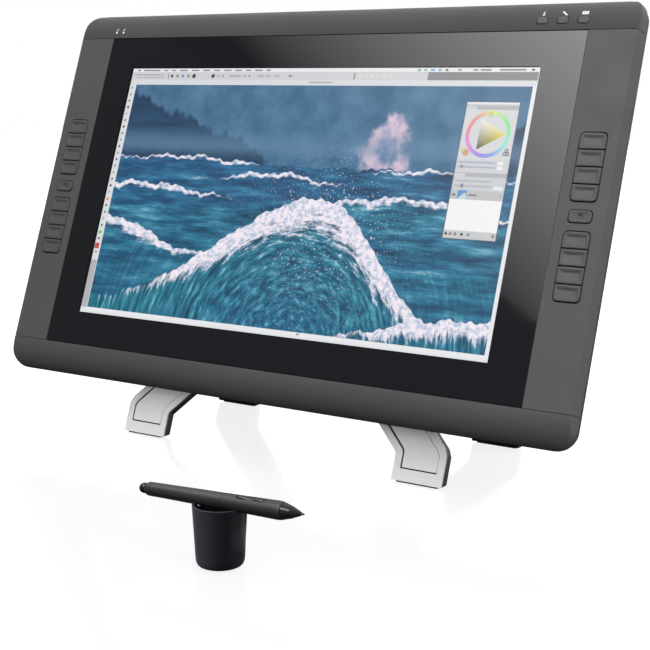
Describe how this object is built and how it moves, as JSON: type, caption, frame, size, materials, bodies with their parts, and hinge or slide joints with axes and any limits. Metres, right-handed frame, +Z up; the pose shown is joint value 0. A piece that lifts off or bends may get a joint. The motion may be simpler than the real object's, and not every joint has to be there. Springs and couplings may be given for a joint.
{
  "type": "pen drawing tablet",
  "caption": "Wide pen display leaning on a four-legged easel stand, with key columns beside its screen, a pen and a round pen cup.",
  "frame": {"origin": "on the table, under the middle of the whole set", "axes": "+Z up, +X to the right of someone facing the screen, +Y away from that person"},
  "size_m": [0.65, 0.4516, 0.4331],
  "materials": {
    "graphite_housing": "fine matte texture",
    "black_housing": "fine matte texture",
    "key_plastic": "satin",
    "border_glass": "gloss",
    "screen_panel": "satin",
    "circuit_board": "solder mask",
    "steel": "brushed",
    "silver_paint": "satin silver",
    "black_rubber": "matte",
    "light_pipe": "clear"
  },
  "bodies": {
    "stand": {"front_legs": "black_housing", "left_leg_cover": "silver_paint", "right_leg_cover": "silver_paint", "swivel_ring": "black_housing", "hinge_axle": "steel", "front_left_foot_pad": "black_rubber", "front_right_foot_pad": "black_rubber"},
    "rear_stand": {"rear_legs": "black_housing", "rear_leg_cover": "silver_paint", "rear_left_foot_pad": "black_rubber", "rear_right_foot_pad": "black_rubber"},
    "display": {"top_bar": "graphite_housing", "bottom_bar": "graphite_housing", "left_key_panel": "graphite_housing", "right_key_panel": "graphite_housing", "rear_cover": "black_housing", "cover_glass": "border_glass", "lcd_panel": "screen_panel", "backlight_unit": "black_housing", "pen_sensor_board": "circuit_board", "shield_plate": "steel", "main_board": "circuit_board", "status_light_pipe": "light_pipe", "left_touch_strip": "key_plastic", "right_touch_strip": "key_plastic", "mount_plate": "steel", "hub_cap": "steel", "power_socket": "black_housing", "usb_socket": "steel", "video_socket": "steel"},
    "release_lever": {"release_lever": "silver_paint"},
    "cup": {"pen_cup": "black_housing"},
    "pen": {"pen_barrel": "black_housing", "pen_grip": "black_rubber", "pen_tip_cone": "black_housing"},
    "pen_nib": {"pen_nib": "black_housing"},
    "pen_eraser": {"pen_eraser": "black_rubber"},
    "pen_side_switch": {"pen_side_switch": "key_plastic"},
    "power_button": {"power_button": "key_plastic"},
    "left_key_upper_1": {"left_key_upper_1": "key_plastic"},
    "left_key_upper_2": {"left_key_upper_2": "key_plastic"},
    "left_key_upper_3": {"left_key_upper_3": "key_plastic"},
    "left_key_upper_4": {"left_key_upper_4": "key_plastic"},
    "left_key_middle": {"left_key_middle": "key_plastic"},
    "left_key_lower_1": {"left_key_lower_1": "key_plastic"},
    "left_key_lower_2": {"left_key_lower_2": "key_plastic"},
    "left_key_lower_3": {"left_key_lower_3": "key_plastic"},
    "left_key_lower_4": {"left_key_lower_4": "key_plastic"},
    "right_key_upper_1": {"right_key_upper_1": "key_plastic"},
    "right_key_upper_2": {"right_key_upper_2": "key_plastic"},
    "right_key_upper_3": {"right_key_upper_3": "key_plastic"},
    "right_key_upper_4": {"right_key_upper_4": "key_plastic"},
    "right_key_middle": {"right_key_middle": "key_plastic"},
    "right_key_lower_1": {"right_key_lower_1": "key_plastic"},
    "right_key_lower_2": {"right_key_lower_2": "key_plastic"},
    "right_key_lower_3": {"right_key_lower_3": "key_plastic"},
    "right_key_lower_4": {"right_key_lower_4": "key_plastic"},
    "top_button_1": {"top_button_1": "key_plastic"},
    "top_button_2": {"top_button_2": "key_plastic"},
    "top_button_3": {"top_button_3": "key_plastic"}
  },
  "joints": [
    {"name": "stand_tilt", "type": "hinge", "parent": "stand", "child": "rear_stand", "pos_m": [0, 0.14627, 0.18517], "axis": [1, 0, 0], "range_deg": [0, 95]},
    {"name": "display_turn", "type": "hinge", "parent": "stand", "child": "display", "pos_m": [0, 0.0912, 0.2506], "axis": [0, -0.9367, 0.3502], "range_deg": [-180, 180]},
    {"name": "release_lever_pull", "type": "hinge", "parent": "stand", "child": "release_lever", "pos_m": [0, 0.16434, 0.25635], "axis": [-1, 0, 0], "range_deg": [0, 15], "stiffness_Nm_per_rad": 0.3, "springref_deg": -5.73},
    {"name": "left_key_upper_1_press", "type": "slide", "parent": "display", "child": "left_key_upper_1", "axis": [0, 0.9367, -0.3502], "range_m": [0, 0.001], "stiffness_N_per_m": 800, "springref_m": -0.0004},
    {"name": "left_key_upper_2_press", "type": "slide", "parent": "display", "child": "left_key_upper_2", "axis": [0, 0.9367, -0.3502], "range_m": [0, 0.001], "stiffness_N_per_m": 800, "springref_m": -0.0004},
    {"name": "left_key_upper_3_press", "type": "slide", "parent": "display", "child": "left_key_upper_3", "axis": [0, 0.9367, -0.3502], "range_m": [0, 0.001], "stiffness_N_per_m": 800, "springref_m": -0.0004},
    {"name": "left_key_upper_4_press", "type": "slide", "parent": "display", "child": "left_key_upper_4", "axis": [0, 0.9367, -0.3502], "range_m": [0, 0.001], "stiffness_N_per_m": 800, "springref_m": -0.0004},
    {"name": "left_key_middle_press", "type": "slide", "parent": "display", "child": "left_key_middle", "axis": [0, 0.9367, -0.3502], "range_m": [0, 0.001], "stiffness_N_per_m": 800, "springref_m": -0.0004},
    {"name": "left_key_lower_1_press", "type": "slide", "parent": "display", "child": "left_key_lower_1", "axis": [0, 0.9367, -0.3502], "range_m": [0, 0.001], "stiffness_N_per_m": 800, "springref_m": -0.0004},
    {"name": "left_key_lower_2_press", "type": "slide", "parent": "display", "child": "left_key_lower_2", "axis": [0, 0.9367, -0.3502], "range_m": [0, 0.001], "stiffness_N_per_m": 800, "springref_m": -0.0004},
    {"name": "left_key_lower_3_press", "type": "slide", "parent": "display", "child": "left_key_lower_3", "axis": [0, 0.9367, -0.3502], "range_m": [0, 0.001], "stiffness_N_per_m": 800, "springref_m": -0.0004},
    {"name": "left_key_lower_4_press", "type": "slide", "parent": "display", "child": "left_key_lower_4", "axis": [0, 0.9367, -0.3502], "range_m": [0, 0.001], "stiffness_N_per_m": 800, "springref_m": -0.0004},
    {"name": "right_key_upper_1_press", "type": "slide", "parent": "display", "child": "right_key_upper_1", "axis": [0, 0.9367, -0.3502], "range_m": [0, 0.001], "stiffness_N_per_m": 800, "springref_m": -0.0004},
    {"name": "right_key_upper_2_press", "type": "slide", "parent": "display", "child": "right_key_upper_2", "axis": [0, 0.9367, -0.3502], "range_m": [0, 0.001], "stiffness_N_per_m": 800, "springref_m": -0.0004},
    {"name": "right_key_upper_3_press", "type": "slide", "parent": "display", "child": "right_key_upper_3", "axis": [0, 0.9367, -0.3502], "range_m": [0, 0.001], "stiffness_N_per_m": 800, "springref_m": -0.0004},
    {"name": "right_key_upper_4_press", "type": "slide", "parent": "display", "child": "right_key_upper_4", "axis": [0, 0.9367, -0.3502], "range_m": [0, 0.001], "stiffness_N_per_m": 800, "springref_m": -0.0004},
    {"name": "right_key_middle_press", "type": "slide", "parent": "display", "child": "right_key_middle", "axis": [0, 0.9367, -0.3502], "range_m": [0, 0.001], "stiffness_N_per_m": 800, "springref_m": -0.0004},
    {"name": "right_key_lower_1_press", "type": "slide", "parent": "display", "child": "right_key_lower_1", "axis": [0, 0.9367, -0.3502], "range_m": [0, 0.001], "stiffness_N_per_m": 800, "springref_m": -0.0004},
    {"name": "right_key_lower_2_press", "type": "slide", "parent": "display", "child": "right_key_lower_2", "axis": [0, 0.9367, -0.3502], "range_m": [0, 0.001], "stiffness_N_per_m": 800, "springref_m": -0.0004},
    {"name": "right_key_lower_3_press", "type": "slide", "parent": "display", "child": "right_key_lower_3", "axis": [0, 0.9367, -0.3502], "range_m": [0, 0.001], "stiffness_N_per_m": 800, "springref_m": -0.0004},
    {"name": "right_key_lower_4_press", "type": "slide", "parent": "display", "child": "right_key_lower_4", "axis": [0, 0.9367, -0.3502], "range_m": [0, 0.001], "stiffness_N_per_m": 800, "springref_m": -0.0004},
    {"name": "top_button_1_press", "type": "slide", "parent": "display", "child": "top_button_1", "axis": [0, 0.9367, -0.3502], "range_m": [0, 0.0008], "stiffness_N_per_m": 800, "springref_m": -0.0004},
    {"name": "top_button_2_press", "type": "slide", "parent": "display", "child": "top_button_2", "axis": [0, 0.9367, -0.3502], "range_m": [0, 0.0008], "stiffness_N_per_m": 800, "springref_m": -0.0004},
    {"name": "top_button_3_press", "type": "slide", "parent": "display", "child": "top_button_3", "axis": [0, 0.9367, -0.3502], "range_m": [0, 0.0008], "stiffness_N_per_m": 800, "springref_m": -0.0004},
    {"name": "power_button_press", "type": "slide", "parent": "display", "child": "power_button", "axis": [0, -0.3502, -0.9367], "range_m": [0, 0.0008], "stiffness_N_per_m": 800, "springref_m": -0.0004},
    {"name": "cup_lift", "type": "slide", "parent": "stand", "child": "cup", "axis": [0, 0, 1], "range_m": [0, 0.1]},
    {"name": "pen_lift", "type": "slide", "parent": "cup", "child": "pen", "axis": [0, 0, 1], "range_m": [0, 0.12]},
    {"name": "pen_nib_press", "type": "slide", "parent": "pen", "child": "pen_nib", "axis": [-0.9986, -0.0506, -0.0175], "range_m": [0, 0.0008], "stiffness_N_per_m": 300, "springref_m": -0.0005},
    {"name": "pen_eraser_press", "type": "slide", "parent": "pen", "child": "pen_eraser", "axis": [0.9986, 0.0506, 0.0175], "range_m": [0, 0.0008], "stiffness_N_per_m": 300, "springref_m": -0.0005},
    {"name": "pen_side_switch_rock", "type": "hinge", "parent": "pen", "child": "pen_side_switch", "pos_m": [0.16938, -0.20443, 0.05666], "axis": [-0.0533, 0.9688, 0.2419], "range_deg": [-2, 2], "stiffness_Nm_per_rad": 0.05}
  ]
}
